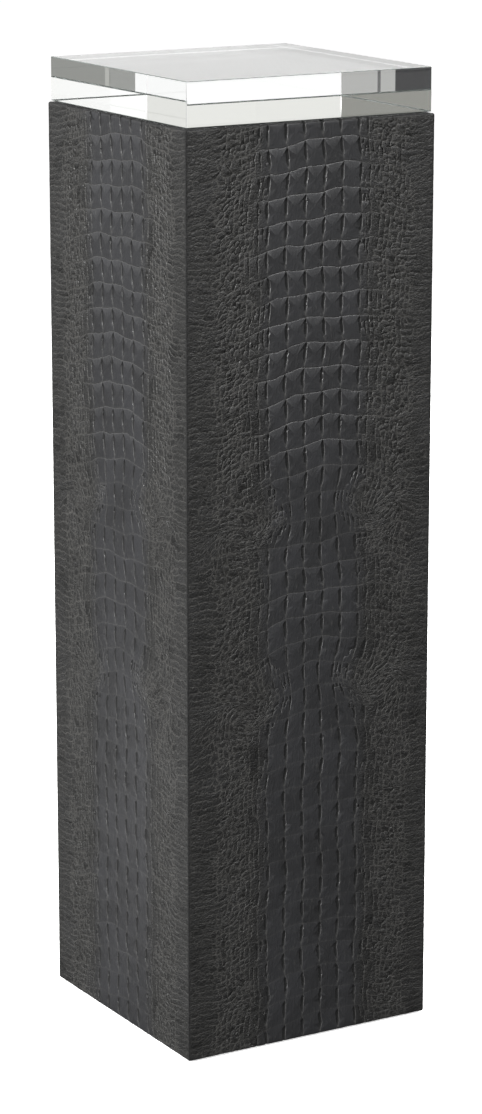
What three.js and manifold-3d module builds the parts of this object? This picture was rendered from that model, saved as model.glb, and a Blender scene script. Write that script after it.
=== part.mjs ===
// Display plinth: a square column clad in embossed leather, with a thick clear block lying loose on its top.
// Millimetres, +Z up. The origin is on the floor under the middle of the column; the front faces -Y.
import * as THREE from "three";
import { mergeVertices } from "three/addons/utils/BufferGeometryUtils.js";
import Module from "manifold-3d";

const wasm = await Module();
wasm.setup();

// Driving dimensions.
const COLUMN_SIDE = 305; // outside of the leather
const COLUMN_HEIGHT = 1016; // leather, bottom edge to top edge
const FLOOR_GAP = 2; // the feet hold the leather this far off the floor
const GLUE_GAP = 0.1; // between glued, resting or mitred pieces
const RUN_GAP = 0.3; // round a screw, a nut or a turning piece

const LEATHER = 1.5; // thickness
const LEATHER_ROUND = 1.4; // outer edge radius where the leather turns over
const TURN_OVER = 22; // lip on the top, from the outer face inwards
const TURN_UNDER = 16; // lip below the walls, from the outer face inwards

const BLOCK_SIDE = 300;
const BLOCK_THICKNESS = 48;
const BLOCK_BEVEL = 0.8;
const BUMPER_HEIGHT = 1;
const BUMPER_RADIUS = 5;
const BUMPER_INSET = 14; // bumper centre from the block's side

const WALL = 15; // fibreboard
const TOP_PANEL = 15;
const BASE_PANEL = 18; // plywood
const BATTEN = 25; // square pine
const BRACE = 12; // plywood
const BRACE_OPENING = 85; // radius of the hole through each brace
const BRACE_FIT = 0.5; // round a brace, so that it slides down between the walls

const FOOT_SPREAD = 98; // foot axis from the middle, in X and in Y
const SOLE_RADIUS = 14;
const SOLE_HEIGHT = 1.8;
const PAD_RADIUS = 15;
const PAD_TOP = 8.8;
const SOCKET_RADIUS = 5.6;
const SOCKET_FLOOR = 3.4;
const SOCKET_ROOF = 6.6;
const STUD_RADIUS = 4; // M8, 1.25 mm pitch
const STUD_HEAD_RADIUS = 5.2;
const STUD_NECK_RADIUS = 2.8;
const STUD_HEX = 13; // across flats
const STUD_TOP = 48;
const NUT_BARREL_RADIUS = 5.2;
const NUT_FLANGE_RADIUS = 11;
const NUT_FLANGE = 1.5;
const NUT_BARREL = 11;

const SCREW_HEAD_RADIUS = 4.2;
const SCREW_RADIUS = 2.1;
const SCREW_LENGTH = 45;
const SCREW_TIP = 5;

const ROUND = 24; // sides of a turned piece
const SCREW_ROUND = 16;

// Levels and widths that follow from them.
const leatherBottom = FLOOR_GAP;
const leatherTop = leatherBottom + COLUMN_HEIGHT;
const outer = COLUMN_SIDE / 2;
const wallOuter = outer - LEATHER - GLUE_GAP;
const wallInner = wallOuter - WALL;
const wallBottom = leatherBottom + LEATHER + GLUE_GAP;
const wallTop = leatherTop - LEATHER - GLUE_GAP;
const inside = wallInner - GLUE_GAP; // half width of a panel that fits between the walls
const baseBottom = PAD_TOP + RUN_GAP + 3 + RUN_GAP; // room for the stud's hexagon
const baseTop = baseBottom + BASE_PANEL;
const topPanelBottom = wallTop - TOP_PANEL;
const battenBottom = baseTop + GLUE_GAP;
const battenTop = topPanelBottom - GLUE_GAP;
const battenCentre = inside - BATTEN / 2;
const blockBottom = leatherTop + BUMPER_HEIGHT + 2 * GLUE_GAP;

// Finishes.
function finish(color, roughness, metalness = 0, extra = {}) {
  return new THREE.MeshStandardMaterial({ color, roughness, metalness, ...extra });
}
const leather = finish(0x2c2c2d, 0.55);
const acrylic = finish(0xf2f5f3, 0.03, 0, { transparent: true, opacity: 0.3 });
const bumperRubber = finish(0xe6e8e6, 0.35, 0, { transparent: true, opacity: 0.6 });
const fibreboard = finish(0x9a7a56, 0.85);
const plywood = finish(0xc9a774, 0.75);
const pine = finish(0xd9bb86, 0.75);
const zinc = finish(0xb9bcc0, 0.35, 1);
const nylon = finish(0x151515, 0.5);
const rubber = finish(0x1d1d1d, 0.9);

// Mesh and solid, there and back.
function solidOf(geometry) {
  const bare = geometry.index ? geometry.toNonIndexed() : geometry.clone();
  bare.deleteAttribute("normal");
  bare.deleteAttribute("uv");
  const merged = mergeVertices(bare, 1e-4);
  return new wasm.Manifold(
    new wasm.Mesh({
      numProp: 3,
      vertProperties: merged.attributes.position.array,
      triVerts: new Uint32Array(merged.index.array),
    }),
  );
}

function geometryOf(solid) {
  const made = solid.getMesh();
  const places = new Float32Array(made.numVert * 3);
  for (let i = 0; i < made.numVert; i++) {
    const start = i * made.numProp;
    places.set(made.vertProperties.subarray(start, start + 3), i * 3);
  }
  const geometry = new THREE.BufferGeometry();
  geometry.setAttribute("position", new THREE.BufferAttribute(places, 3));
  geometry.setIndex(new THREE.BufferAttribute(made.triVerts, 1));
  geometry.computeVertexNormals();
  return geometry;
}

// A plan outline, raised from one level to another.
function raised(shape, bottom, top, curveSegments = 12) {
  const geometry = new THREE.ExtrudeGeometry(shape, {
    depth: top - bottom,
    bevelEnabled: false,
    curveSegments,
  });
  return geometry.translate(0, 0, bottom);
}

// A profile of [radius, height] points turned about Z. It ends on the axis or closes on itself.
function turned(profile, sides = ROUND) {
  const points = profile.map(([radius, height]) => new THREE.Vector2(radius, height));
  return new THREE.LatheGeometry(points, sides).rotateX(Math.PI / 2);
}

function squarePlan(half) {
  return outline([
    [-half, -half],
    [half, -half],
    [half, half],
    [-half, half],
  ]);
}

function outline(points) {
  return new THREE.Shape(points.map(([x, y]) => new THREE.Vector2(x, y)));
}

function roundHole(x, y, radius) {
  return new THREE.Path().absarc(x, y, radius, 0, 2 * Math.PI, true);
}

const plinth = new THREE.Group();

function place(name, geometry, material, x = 0, y = 0, quarterTurns = 0) {
  const mesh = new THREE.Mesh(geometry, material);
  mesh.name = name;
  mesh.position.set(x, y, 0);
  mesh.rotation.z = (quarterTurns * Math.PI) / 2;
  plinth.add(mesh);
  return mesh;
}

const sides = ["front", "right", "rear", "left"];
const corners = [
  ["front_left", -1, -1],
  ["front_right", 1, -1],
  ["rear_right", 1, 1],
  ["rear_left", -1, 1],
];

// The front quarter of the square in plan, which mitres whatever runs along a side at both ends.
function frontQuarter() {
  const half = outer + 5;
  const wedge = outline([
    [0, -GLUE_GAP],
    [-half + GLUE_GAP, -half],
    [half - GLUE_GAP, -half],
  ]);
  return solidOf(raised(wedge, leatherBottom - 5, leatherTop + 5));
}

// Leather skin of one side: a sheet that turns over the top edge and under the bottom edge.
function leatherSkin() {
  const face = -outer;
  const r = LEATHER_ROUND;
  const section = new THREE.Shape();
  section.moveTo(face + r, leatherBottom);
  section.lineTo(face + TURN_UNDER, leatherBottom);
  section.lineTo(face + TURN_UNDER, leatherBottom + LEATHER);
  section.lineTo(face + LEATHER, leatherBottom + LEATHER);
  section.lineTo(face + LEATHER, leatherTop - LEATHER);
  section.lineTo(face + TURN_OVER, leatherTop - LEATHER);
  section.lineTo(face + TURN_OVER, leatherTop);
  section.lineTo(face + r, leatherTop);
  section.absarc(face + r, leatherTop - r, r, Math.PI / 2, Math.PI, false);
  section.lineTo(face, leatherBottom + r);
  section.absarc(face + r, leatherBottom + r, r, Math.PI, 1.5 * Math.PI, false);
  const run = new THREE.ExtrudeGeometry(section, {
    depth: COLUMN_SIDE,
    bevelEnabled: false,
    curveSegments: 4,
  });
  // The section's X and Y become Y and Z, and its run goes along X.
  const toSide = new THREE.Matrix4().makeBasis(
    new THREE.Vector3(0, 1, 0),
    new THREE.Vector3(0, 0, 1),
    new THREE.Vector3(1, 0, 0),
  );
  run.applyMatrix4(toSide).translate(-outer, 0, 0);
  return geometryOf(solidOf(run).intersect(frontQuarter()));
}

// Fibreboard wall of one side, mitred at both ends.
function wallPanel() {
  const plan = outline([
    [-wallOuter + GLUE_GAP, -wallOuter],
    [wallOuter - GLUE_GAP, -wallOuter],
    [wallInner - GLUE_GAP, -wallInner],
    [-wallInner + GLUE_GAP, -wallInner],
  ]);
  return raised(plan, wallBottom, wallTop);
}

sides.forEach((side, turn) => {
  place(`leather_${side}`, leatherSkin(), leather, 0, 0, turn);
  place(`wall_${side}`, wallPanel(), fibreboard, 0, 0, turn);
});

// Leather inlay on the top, inside the four turned-over lips.
const inlayHalf = outer - TURN_OVER - GLUE_GAP;
place("leather_top", raised(squarePlan(inlayHalf), leatherTop - LEATHER, leatherTop), leather);

// Countersunk wood screw, head flush at height 0 and point down; grow leaves room round it.
function screwProfile(grow = 0) {
  const headCone = SCREW_HEAD_RADIUS - SCREW_RADIUS;
  return [
    [0, -SCREW_LENGTH - grow],
    [SCREW_RADIUS + grow, -SCREW_LENGTH + SCREW_TIP],
    [SCREW_RADIUS + grow, -headCone - 0.6],
    [SCREW_HEAD_RADIUS + grow, -0.6],
    [SCREW_HEAD_RADIUS + grow, grow],
    [0, grow],
  ];
}

function screw() {
  const slot = 0.9;
  const depth = 1.6;
  const reach = 2 * SCREW_RADIUS + 0.8;
  const bladeX = new THREE.BoxGeometry(reach, slot, 2 * depth);
  const bladeY = new THREE.BoxGeometry(slot, reach, 2 * depth);
  const body = solidOf(turned(screwProfile(), SCREW_ROUND));
  return geometryOf(body.subtract(solidOf(bladeX)).subtract(solidOf(bladeY)));
}

function screwRoom(x, y, level, pointsUp) {
  const room = turned(screwProfile(RUN_GAP), SCREW_ROUND);
  if (pointsUp) room.rotateX(Math.PI);
  return solidOf(room.translate(x, y, level));
}

function screwRooms(level, pointsUp) {
  return corners.map(([, x, y]) => screwRoom(x * battenCentre, y * battenCentre, level, pointsUp));
}

const baseScrewRooms = screwRooms(baseBottom, true);
const topScrewRooms = screwRooms(wallTop, false);

function cutBy(geometry, cutters) {
  return geometryOf(cutters.reduce((left, cutter) => left.subtract(cutter), solidOf(geometry)));
}

// Panels that close the column at its two ends.
const topPanelPlan = squarePlan(inside);
place("top_panel", cutBy(raised(topPanelPlan, topPanelBottom, wallTop), topScrewRooms), fibreboard);

const basePlan = squarePlan(inside);
for (const [, x, y] of corners) {
  const radius = NUT_BARREL_RADIUS + RUN_GAP;
  basePlan.holes.push(roundHole(x * FOOT_SPREAD, y * FOOT_SPREAD, radius));
}
const basePanel = raised(basePlan, baseBottom, baseTop, ROUND / 2);
place("base_panel", cutBy(basePanel, baseScrewRooms), plywood);

// Pine battens up the four inner corners, drilled at both ends for the screws.
corners.forEach(([corner, x, y], i) => {
  const batten = new THREE.BoxGeometry(BATTEN, BATTEN, battenTop - battenBottom);
  batten.translate(x * battenCentre, y * battenCentre, (battenTop + battenBottom) / 2);
  place(`batten_${corner}`, cutBy(batten, [baseScrewRooms[i], topScrewRooms[i]]), pine);
});

// Plywood braces: open squares notched round the battens, at a third and two thirds of the height.
function brace(level) {
  const half = inside - BRACE_FIT;
  const notch = inside - BATTEN - BRACE_FIT;
  const plan = outline([
    [-notch, -half],
    [notch, -half],
    [notch, -notch],
    [half, -notch],
    [half, notch],
    [notch, notch],
    [notch, half],
    [-notch, half],
    [-notch, notch],
    [-half, notch],
    [-half, -notch],
    [-notch, -notch],
  ]);
  plan.holes.push(roundHole(0, 0, BRACE_OPENING));
  return raised(plan, level, level + BRACE, ROUND);
}
const braceStep = (battenTop - battenBottom) / 3;
place("brace_lower", brace(battenBottom + braceStep), plywood);
place("brace_upper", brace(battenBottom + 2 * braceStep), plywood);

// Levelling foot: a tee nut in the base, a stud that screws in it, and a pad that the stud turns in.
function teeNut() {
  const bore = STUD_RADIUS + RUN_GAP;
  const flangeBottom = baseTop + GLUE_GAP;
  return turned([
    [bore, flangeBottom - NUT_BARREL],
    [NUT_BARREL_RADIUS, flangeBottom - NUT_BARREL],
    [NUT_BARREL_RADIUS, flangeBottom],
    [NUT_FLANGE_RADIUS, flangeBottom],
    [NUT_FLANGE_RADIUS, flangeBottom + NUT_FLANGE],
    [bore, flangeBottom + NUT_FLANGE],
    [bore, flangeBottom - NUT_BARREL],
  ]);
}

function stud() {
  const hexBottom = PAD_TOP + RUN_GAP;
  const hexTop = baseBottom - RUN_GAP;
  const shank = turned([
    [0, SOCKET_FLOOR + RUN_GAP],
    [STUD_HEAD_RADIUS, SOCKET_FLOOR + RUN_GAP],
    [STUD_HEAD_RADIUS, SOCKET_ROOF - RUN_GAP],
    [STUD_NECK_RADIUS, SOCKET_ROOF - RUN_GAP],
    [STUD_NECK_RADIUS, hexBottom + 1],
    [STUD_RADIUS, hexBottom + 1],
    [STUD_RADIUS, STUD_TOP - 1],
    [STUD_RADIUS - 1, STUD_TOP],
    [0, STUD_TOP],
  ]);
  const hexagon = turned(
    [
      [0, hexBottom],
      [STUD_HEX / Math.sqrt(3), hexBottom],
      [STUD_HEX / Math.sqrt(3), hexTop],
      [0, hexTop],
    ],
    6,
  );
  return geometryOf(solidOf(shank).add(solidOf(hexagon)));
}

function footPad() {
  const mouth = STUD_NECK_RADIUS + RUN_GAP;
  const bottom = SOLE_HEIGHT + GLUE_GAP;
  return turned([
    [0, bottom],
    [PAD_RADIUS, bottom],
    [PAD_RADIUS, bottom + 2],
    [PAD_RADIUS - 2, PAD_TOP - 1.5],
    [PAD_RADIUS - 5, PAD_TOP],
    [mouth, PAD_TOP],
    [mouth, SOCKET_ROOF],
    [SOCKET_RADIUS, SOCKET_ROOF],
    [SOCKET_RADIUS, SOCKET_FLOOR],
    [0, SOCKET_FLOOR],
  ]);
}

function footSole() {
  return turned([
    [0, 0],
    [SOLE_RADIUS, 0],
    [SOLE_RADIUS, SOLE_HEIGHT],
    [0, SOLE_HEIGHT],
  ]);
}

for (const [corner, x, y] of corners) {
  const footX = x * FOOT_SPREAD;
  const footY = y * FOOT_SPREAD;
  place(`tee_nut_${corner}`, teeNut(), zinc, footX, footY);
  place(`foot_stud_${corner}`, stud(), zinc, footX, footY);
  place(`foot_pad_${corner}`, footPad(), nylon, footX, footY);
  place(`foot_sole_${corner}`, footSole(), rubber, footX, footY);
}

// Screws up through the base and down through the top panel, into the battens.
for (const [corner, x, y] of corners) {
  const up = screw().rotateX(Math.PI).translate(0, 0, baseBottom);
  const down = screw().translate(0, 0, wallTop);
  place(`base_screw_${corner}`, up, zinc, x * battenCentre, y * battenCentre);
  place(`top_screw_${corner}`, down, zinc, x * battenCentre, y * battenCentre);
}

// Clear bumpers under the corners of the block, and the block with its polished bevels.
const bumperSpread = BLOCK_SIDE / 2 - BUMPER_INSET;
for (const [corner, x, y] of corners) {
  const bottom = leatherTop + GLUE_GAP;
  const bumper = turned([
    [0, bottom],
    [BUMPER_RADIUS - 0.3, bottom],
    [BUMPER_RADIUS, bottom + BUMPER_HEIGHT],
    [0, bottom + BUMPER_HEIGHT],
  ]);
  place(`bumper_${corner}`, bumper, bumperRubber, x * bumperSpread, y * bumperSpread);
}

function clearBlock() {
  const half = BLOCK_SIDE / 2 - BLOCK_BEVEL;
  const cut = half - BLOCK_BEVEL;
  const plan = outline([
    [-cut, -half],
    [cut, -half],
    [half, -cut],
    [half, cut],
    [cut, half],
    [-cut, half],
    [-half, cut],
    [-half, -cut],
  ]);
  const block = new THREE.ExtrudeGeometry(plan, {
    depth: BLOCK_THICKNESS - 2 * BLOCK_BEVEL,
    bevelThickness: BLOCK_BEVEL,
    bevelSize: BLOCK_BEVEL,
    bevelSegments: 1,
  });
  return block.translate(0, 0, blockBottom + BLOCK_BEVEL);
}
place("clear_block", clearBlock(), acrylic);

export default plinth;
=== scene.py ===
import math
import random

import bmesh
import bpy
from mathutils import Matrix, Vector, noise
from mathutils.geometry import delaunay_2d_cdt


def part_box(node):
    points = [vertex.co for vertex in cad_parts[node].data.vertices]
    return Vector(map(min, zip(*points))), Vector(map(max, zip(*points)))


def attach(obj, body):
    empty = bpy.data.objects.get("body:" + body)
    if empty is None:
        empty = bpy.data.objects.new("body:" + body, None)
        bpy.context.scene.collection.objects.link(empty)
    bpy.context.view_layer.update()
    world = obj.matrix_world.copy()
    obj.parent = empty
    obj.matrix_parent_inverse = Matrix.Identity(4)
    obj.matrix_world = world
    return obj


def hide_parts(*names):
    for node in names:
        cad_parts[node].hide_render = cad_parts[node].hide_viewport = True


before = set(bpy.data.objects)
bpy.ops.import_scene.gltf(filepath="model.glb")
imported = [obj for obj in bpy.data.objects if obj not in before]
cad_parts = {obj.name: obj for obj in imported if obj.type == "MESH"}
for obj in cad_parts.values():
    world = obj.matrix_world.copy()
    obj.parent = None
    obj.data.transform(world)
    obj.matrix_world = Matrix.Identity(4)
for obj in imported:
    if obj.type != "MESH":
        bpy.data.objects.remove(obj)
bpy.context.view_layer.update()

# ---------------------------------------------------------------------------------------------------
# The column's covering. Four panels of cow hide, plate-embossed to look like a crocodile's belly and
# dyed charcoal, are glued to the four walls, turned over the top edge and under the bottom edge, and
# skived so that their long edges meet in a fine line at the corners.
# ---------------------------------------------------------------------------------------------------

MM = 0.001
column_low, column_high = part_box("leather_front")
FACE = -column_low.y
BOTTOM, TOP = column_low.z, column_high.z

HIDE = 1.5 * MM
EDGE_RADIUS = 2.2 * MM
TURN_OVER = 22 * MM
TURN_UNDER = 16 * MM
CORNER_LINE = 0.12 * MM

# The emboss is planned on straight rows and columns, in cells a quarter of a big scale wide and high.
ROW = 27 * MM  # height of one row of big scales
SCALE_WIDTH = 22.8 * MM
BIG_COLUMNS = 5
STEP_ACROSS = SCALE_WIDTH / 4
STEP_UP = ROW / 4
BAND_HALF = BIG_COLUMNS * SCALE_WIDTH / 2
SIDE_SCALES = 2  # narrower upright scales on each side of the big ones
SIDE_HALF = BAND_HALF + SIDE_SCALES * SCALE_WIDTH / 2
ROWS_REACH = 95 * MM  # the lines between rows run on this far through the pebbles
EDGE_ZONE = 118 * MM  # from here outwards the scales are long and low
BAND_SHIFT = 3 * MM
SIDE_WOBBLE, EDGE_WOBBLE = 8 * MM, 9 * MM

BIG, PEBBLE, LONG = 0, 1, 2
# How far the outline of each kind strays from its cell, across and up, as a part of the cell.
STRAY = {"big": (0.10, 0.10), "side": (0.22, 0.16), "pebble": (0.4, 0.38), "long": (0.3, 0.27)}
STRAY_ON_ROW = 0.16
SINGLE_SIDE, WIDE_PEBBLE, TALL_PEBBLE = 0.2, 0.26, 0.58  # chances; the last starts from the one before
LONG_RUNS = (1, 2, 2, 3, 4)  # cells in a long scale
GROOVE_HALF = {BIG: 1.1 * MM, PEBBLE: 1.05 * MM, LONG: 1.0 * MM}
SHOULDER = {BIG: -0.1 * MM, PEBBLE: -0.14 * MM, LONG: -0.09 * MM}

DEEPEST = 0.75 * MM  # below this a groove is as dark as its painted shade gets
CROWN = 0.05 * MM
ROUNDER_FROM = 4.4 * MM  # outlines with longer steps are made rounder

WAISTS = (TOP - 415 * MM, TOP - 607 * MM)  # heights where the band narrows
WAIST_SPREAD = 34 * MM
NARROW_SPREAD = 26 * MM
WAIST_PULL = 0.2
SWIRL_PLACE, SWIRL_SIZE, SWIRL_TURN = 98 * MM, 27 * MM, 1.15


def bump_at(x, centre, spread):
    return math.exp(-(((x - centre) / spread) ** 2))


def ramp(x, low, high):
    t = min(1.0, max(0.0, (x - low) / (high - low)))
    return t * t * (3 - 2 * t)


def scale_plan(rng, low, high):
    """Seeds of the small cells that scales are put together from: place, name of the scale, its kind."""
    seeds = []
    across = int((FACE + 14 * MM) / STEP_ACROSS)
    long_run = {}
    for j in range(int(low / STEP_UP) - 2, int(high / STEP_UP) + 3):
        row, part = divmod(j, 4)
        outer_part = part in (0, 3)
        run_left = {-1: 0, 1: 0}
        for i in range(-across, across):
            a = (i + 0.5) * STEP_ACROSS
            b = (j + 0.5) * STEP_UP
            side = -1 if a < 0 else 1
            column = (i + 2 * BIG_COLUMNS) // 4
            narrower = SCALE_WIDTH * max(bump_at(b, waist, NARROW_SPREAD) for waist in WAISTS)
            if abs(a) < BAND_HALF - narrower:
                kind, scale = BIG, (BIG, column, row)
                stray_a, stray_b = STRAY["big"]
            elif abs(a) < SIDE_HALF - 1.5 * narrower + SIDE_WOBBLE * math.sin(b * 83 + 2 * side):
                # The added numbers keep these names apart from those of the big scales.
                kind, scale = BIG, (BIG, i // 2 - 90, row)
                stray_a, stray_b = STRAY["side"]
                if rng.random() < SINGLE_SIDE:
                    scale = (BIG, i + 900, row)
            elif abs(a) < EDGE_ZONE + EDGE_WOBBLE * math.sin(b * 61 + side):
                kind, scale = PEBBLE, (PEBBLE, i, j)
                stray_a, stray_b = STRAY["pebble"]
                if outer_part and abs(a) < ROWS_REACH:
                    stray_b = STRAY_ON_ROW
                chance = rng.random()
                if chance < WIDE_PEBBLE:
                    scale = (PEBBLE, i - 1, j)
                elif chance < TALL_PEBBLE and part != 0:
                    scale = (PEBBLE, i, j - 1)
            else:
                if run_left[side] <= 0:
                    run_left[side] = rng.choice(LONG_RUNS)
                    long_run[side] = i
                run_left[side] -= 1
                kind, scale = LONG, (LONG, long_run[side], j)
                stray_a, stray_b = STRAY["long"]
            a += rng.uniform(-stray_a, stray_a) * STEP_ACROSS
            b += rng.uniform(-stray_b, stray_b) * STEP_UP
            seeds.append((Vector((a, b)), scale, kind))
    return seeds


def cells_round(seeds):
    """Flat mesh with one face round each seed: the part of the sheet that is nearest to it."""
    places, _, triangles, *_ = delaunay_2d_cdt([s[0] for s in seeds], [], [], 0, 1e-9)
    order = {tuple(round(c, 7) for c in place): n for n, (place, _, _) in enumerate(seeds)}
    bm = bmesh.new()
    kinds = bm.faces.layers.int.new("kind")
    names = bm.faces.layers.int.new("scale")
    bm.faces.layers.float.new("tone")
    bm.verts.layers.float.new("relief")
    bm.verts.layers.float.new("band")
    bm.verts.layers.float.new("rim")
    bm.verts.layers.float_vector.new("plan")
    corners = [[] for _ in places]
    for triangle in triangles:
        p, q, r = (places[n] for n in triangle)
        q, r = q - p, r - p
        twice = 2 * q.cross(r)
        centre = Vector((r.y * q.length_squared - q.y * r.length_squared,
                         q.x * r.length_squared - r.x * q.length_squared)) / twice
        corner = bm.verts.new((*(p + centre), 0)) if centre.length < 2 * STEP_UP else None
        for n in triangle:
            corners[n].append(corner)
    scale_numbers = {}
    for place, ring in zip(places, corners):
        if len(ring) < 3 or None in ring:
            continue
        ring.sort(key=lambda v: math.atan2(v.co.y - place.y, v.co.x - place.x))
        face = bm.faces.new(ring)
        _, scale, kind = seeds[order[tuple(round(c, 7) for c in place)]]
        face[kinds] = kind
        face[names] = scale_numbers.setdefault(scale, len(scale_numbers))
    bmesh.ops.delete(bm, geom=[v for v in bm.verts if not v.link_faces], context="VERTS")
    bmesh.ops.remove_doubles(bm, verts=bm.verts, dist=0.8 * MM)
    within = [e for e in bm.edges if len({f[names] for f in e.link_faces}) == 1 and len(e.link_faces) == 2]
    bmesh.ops.dissolve_edges(bm, edges=within, use_verts=False, use_face_split=False)
    bmesh.ops.delete(bm, geom=[v for v in bm.verts if not v.link_faces], context="VERTS")
    return bm


def row_phase(b):
    """How far up its row a height on the plan is, from 0 to 1."""
    return b / ROW - math.floor(b / ROW)


def rows_show(b):
    """How strongly the lines between rows stand out at a height."""
    high = ramp(b, WAISTS[0] + 10 * MM, WAISTS[0] + 70 * MM)
    return 0.32 + 0.68 * max(high, 0.85 * bump_at(b, (WAISTS[0] + WAISTS[1]) / 2 - 4 * MM, 70 * MM))


def slit_shape(b):
    """How open the slit between two big scales is at a height: shut at the row line, widest high up."""
    phase = row_phase(b)
    return ramp(phase, 0.08, 0.5) * (1 - ramp(phase, 0.86, 1.0))


def slit_depth(a, b):
    """Depth of the slit beside a big scale, less towards the flanks."""
    return MM * (0.12 + 1.15 * slit_shape(b) * (1 - 0.3 * ramp(abs(a), BAND_HALF, SIDE_HALF)))


def patchy(a, b, size, lowest):
    """A slow, uneven change over the hide, from lowest to 1."""
    change = 0.5 + 0.9 * noise.noise(Vector((a, b, 7 * size)) / size)
    return lowest + (1 - lowest) * min(1.0, max(0.0, change))


def groove_depth(place, run):
    """Depth of a groove that passes through place, in the plan before it is bent, in direction run."""
    a, b = place.x, place.y
    level, upright = abs(run.x) / run.length, abs(run.y) / run.length
    phase = row_phase(b)
    on_row = math.exp(-((min(phase, 1 - phase) * ROW / (1.6 * MM)) ** 2))
    in_band = 1 - ramp(abs(a), SIDE_HALF - 3 * MM, SIDE_HALF + 6 * MM)
    in_edge = ramp(abs(a), EDGE_ZONE - 10 * MM, EDGE_ZONE + 10 * MM)
    band = max(slit_depth(a, b) / MM * upright**2, (0.08 + 0.22 * rows_show(b)) * level**2)
    pebble = 0.2 + 0.75 * patchy(a, b, 9 * MM, 0)
    pebble += (0.28 - pebble) * on_row * level
    edge = (0.24 * level**2 + 0.12) * patchy(a, b, 16 * MM, 0.4)
    return MM * (band * in_band + (1 - in_band) * (edge * in_edge + pebble * (1 - in_edge)))


def step_in(bm, faces, margins, height):
    """Gives each scale a ring inside its outline; margins and height say how far in and how high it is."""
    bmesh.ops.inset_individual(bm, faces=faces, thickness=0)
    for face in faces:
        centre = face.calc_center_median()
        half_x = max(abs(v.co.x - centre.x) for v in face.verts)
        half_y = max(abs(v.co.y - centre.y) for v in face.verts)
        for v in face.verts:
            right, up = (v.co.x - centre.x) / half_x, (v.co.y - centre.y) / half_y
            margin_x, margin_y = margins(v.co.x, v.co.y, right)
            z = height(v.co.x, v.co.y, right, up)
            v.co.x = centre.x + right * (half_x - min(margin_x, 0.5 * half_x))
            v.co.y = centre.y + up * (half_y - min(margin_y, 0.5 * half_y))
            v.co.z = z


def raise_pebbles(bm, faces, kind):
    """Presses each face of a sheet up into a low pebble with a soft shoulder."""
    width = GROOVE_HALF[kind]
    step_in(bm, faces, lambda a, b, right: (width, width),
            lambda a, b, right, up: SHOULDER[kind] + 0.2 * MM * ramp(up, 0.5, 1) * patchy(a, b, 14 * MM, 0))
    crown(bm, faces)


def crown(bm, faces):
    """Raises the middle of each scale."""
    for v in bmesh.ops.poke(bm, faces=faces)["verts"]:
        v.co.z = CROWN


def note_relief(bm):
    """Notes how deep each place lies, 1 on the crowns and 0 at the bottom of the deepest grooves."""
    relief = bm.verts.layers.float["relief"]
    for v in bm.verts:
        v[relief] = min(1.0, max(0.0, 1 + v.co.z / DEEPEST))


def big_margins(a, b, right):
    """How wide the floor of the slit is on each side of a big scale, with more of it on the right."""
    widest = 1.9 if right > 0 else 0.9
    opening = 0.25 + widest * slit_shape(b) * (1 - 0.5 * ramp(abs(a), BAND_HALF, SIDE_HALF))
    return GROOVE_HALF[BIG] * opening, GROOVE_HALF[BIG] * 0.35


def big_floor(a, b, right, up):
    """Slits have a flat floor; the lines between rows have hardly any."""
    beside = ramp(abs(right), 0.7, 0.95)
    return -beside * slit_depth(a, b) - (1 - beside) * 0.1 * MM


def big_shoulder(a, b, right, up):
    """The top rim, and the upper part of the left rim, stand up in a welt."""
    at_top = 0.24 * rows_show(b) * ramp(up, 0.6, 0.95)
    at_left = 0.14 * ramp(-right, 0.6, 0.95) * ramp(row_phase(b), 0.4, 0.9)
    return SHOULDER[BIG] + (at_top + at_left) * MM


def untangle(bm):
    """Eases apart the few corners of a flat sheet where a ring has folded over its outline."""
    for _ in range(6):
        bm.normal_update()
        folded = {v for f in bm.faces if f.normal.z < 0.02 for v in f.verts}
        if not folded:
            return
        bmesh.ops.smooth_vert(bm, verts=list(folded), factor=0.6, use_axis_x=True, use_axis_y=True)


def warp(a, b):
    """Where a place on the straight plan lies on the hide: rows bow, the band narrows at the waists."""
    x, y = a, b
    for n, waist in enumerate(WAISTS):
        near = bump_at(b, waist, WAIST_SPREAD)
        pull = WAIST_PULL * near * (1 - ramp(abs(a), 40 * MM, 150 * MM))
        x -= pull * a
        above = math.tanh((b - waist) / (22 * MM)) * bump_at(b, waist, 62 * MM)
        y -= above * 13 * MM * min(1.6, (a / (75 * MM)) ** 2)
        for side in (-1, 1):
            away = Vector((a - side * SWIRL_PLACE, b - waist + (6 + 7 * n) * MM))
            turn = side * SWIRL_TURN * math.exp(-((away.length / SWIRL_SIZE) ** 2))
            turned = Matrix.Rotation(turn, 2) @ away
            x += turned.x - away.x
            y += turned.y - away.y
    bow = 12 * MM * min(1.4, (a / (100 * MM)) ** 2)
    y += 0.05 * a - bow
    y += MM * (1.6 * math.sin(a * 47 + b * 19) + 1.1 * math.sin(a * 113 - b * 31 + 2))
    x += MM * (1.3 * math.sin(b * 41 + a * 17) + 0.8 * math.sin(b * 97 + 1.3))
    return x + BAND_SHIFT, y


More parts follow.
